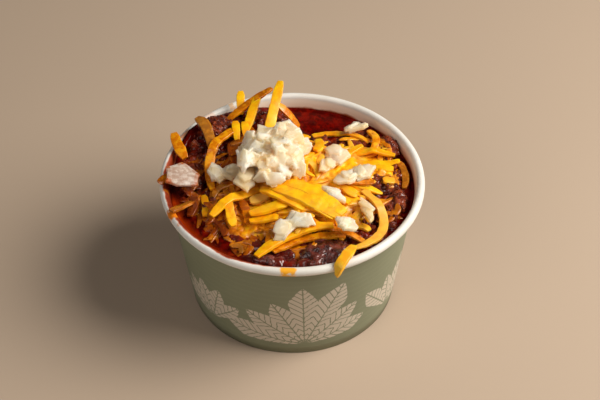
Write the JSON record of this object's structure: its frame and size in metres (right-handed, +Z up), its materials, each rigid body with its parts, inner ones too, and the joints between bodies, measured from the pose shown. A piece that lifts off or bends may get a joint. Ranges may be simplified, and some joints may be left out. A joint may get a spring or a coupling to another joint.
{
  "type": "chili con carne in a paper cup",
  "caption": "Squat tapered paper cup with a rolled rim, filled with mounded chili con carne and topped with grated cheese and diced onion.",
  "frame": {"origin": "centre of the circle that the cup's foot stands on", "axes": "+Z up; -Y towards the front of the cup as seen; +X to the right of it"},
  "size_m": [0.115, 0.1145, 0.0818],
  "materials": {
    "printed_paper": "coated paper, sage green outside with a pale leaf-spray print, white at the rolled rim and inside, soft satin",
    "white_paper": "coated white paper, satin",
    "chili_sauce": "wet, glossy dark red sauce with orange-red oil at its edge and soft lumps of meat and bean under it",
    "minced_beef": "dark purple-brown crumbled meat, moist, with small glints",
    "grated_cheese": "warm golden-yellow grated cheese, partly melted and stained with sauce, soft satin",
    "diced_onion": "raw onion, cream-white and slightly translucent, moist"
  },
  "bodies": {
    "root": {"beef_01": "minced_beef", "beef_02": "minced_beef", "beef_03": "minced_beef", "beef_04": "minced_beef", "beef_05": "minced_beef", "beef_06": "minced_beef", "beef_07": "minced_beef", "beef_08": "minced_beef", "cheese_heap": "grated_cheese", "cheese_strand_01": "grated_cheese", "cheese_strand_02": "grated_cheese", "cheese_strand_03": "grated_cheese", "cheese_strand_04": "grated_cheese", "cheese_strand_05": "grated_cheese", "cheese_strand_06": "grated_cheese", "cheese_strand_07": "grated_cheese", "cheese_strand_08": "grated_cheese", "cheese_strand_09": "grated_cheese", "cheese_strand_10": "grated_cheese", "chili": "chili_sauce", "cup_floor": "white_paper", "cup_wall": "printed_paper", "onion_01": "diced_onion", "onion_02": "diced_onion", "onion_03": "diced_onion", "onion_04": "diced_onion", "onion_05": "diced_onion", "onion_06": "diced_onion", "onion_07": "diced_onion", "onion_08": "diced_onion", "onion_09": "diced_onion", "onion_10": "diced_onion", "onion_11": "diced_onion", "onion_12": "diced_onion", "onion_13": "diced_onion", "onion_14": "diced_onion", "onion_heap": "diced_onion"}
  },
  "joints": []
}
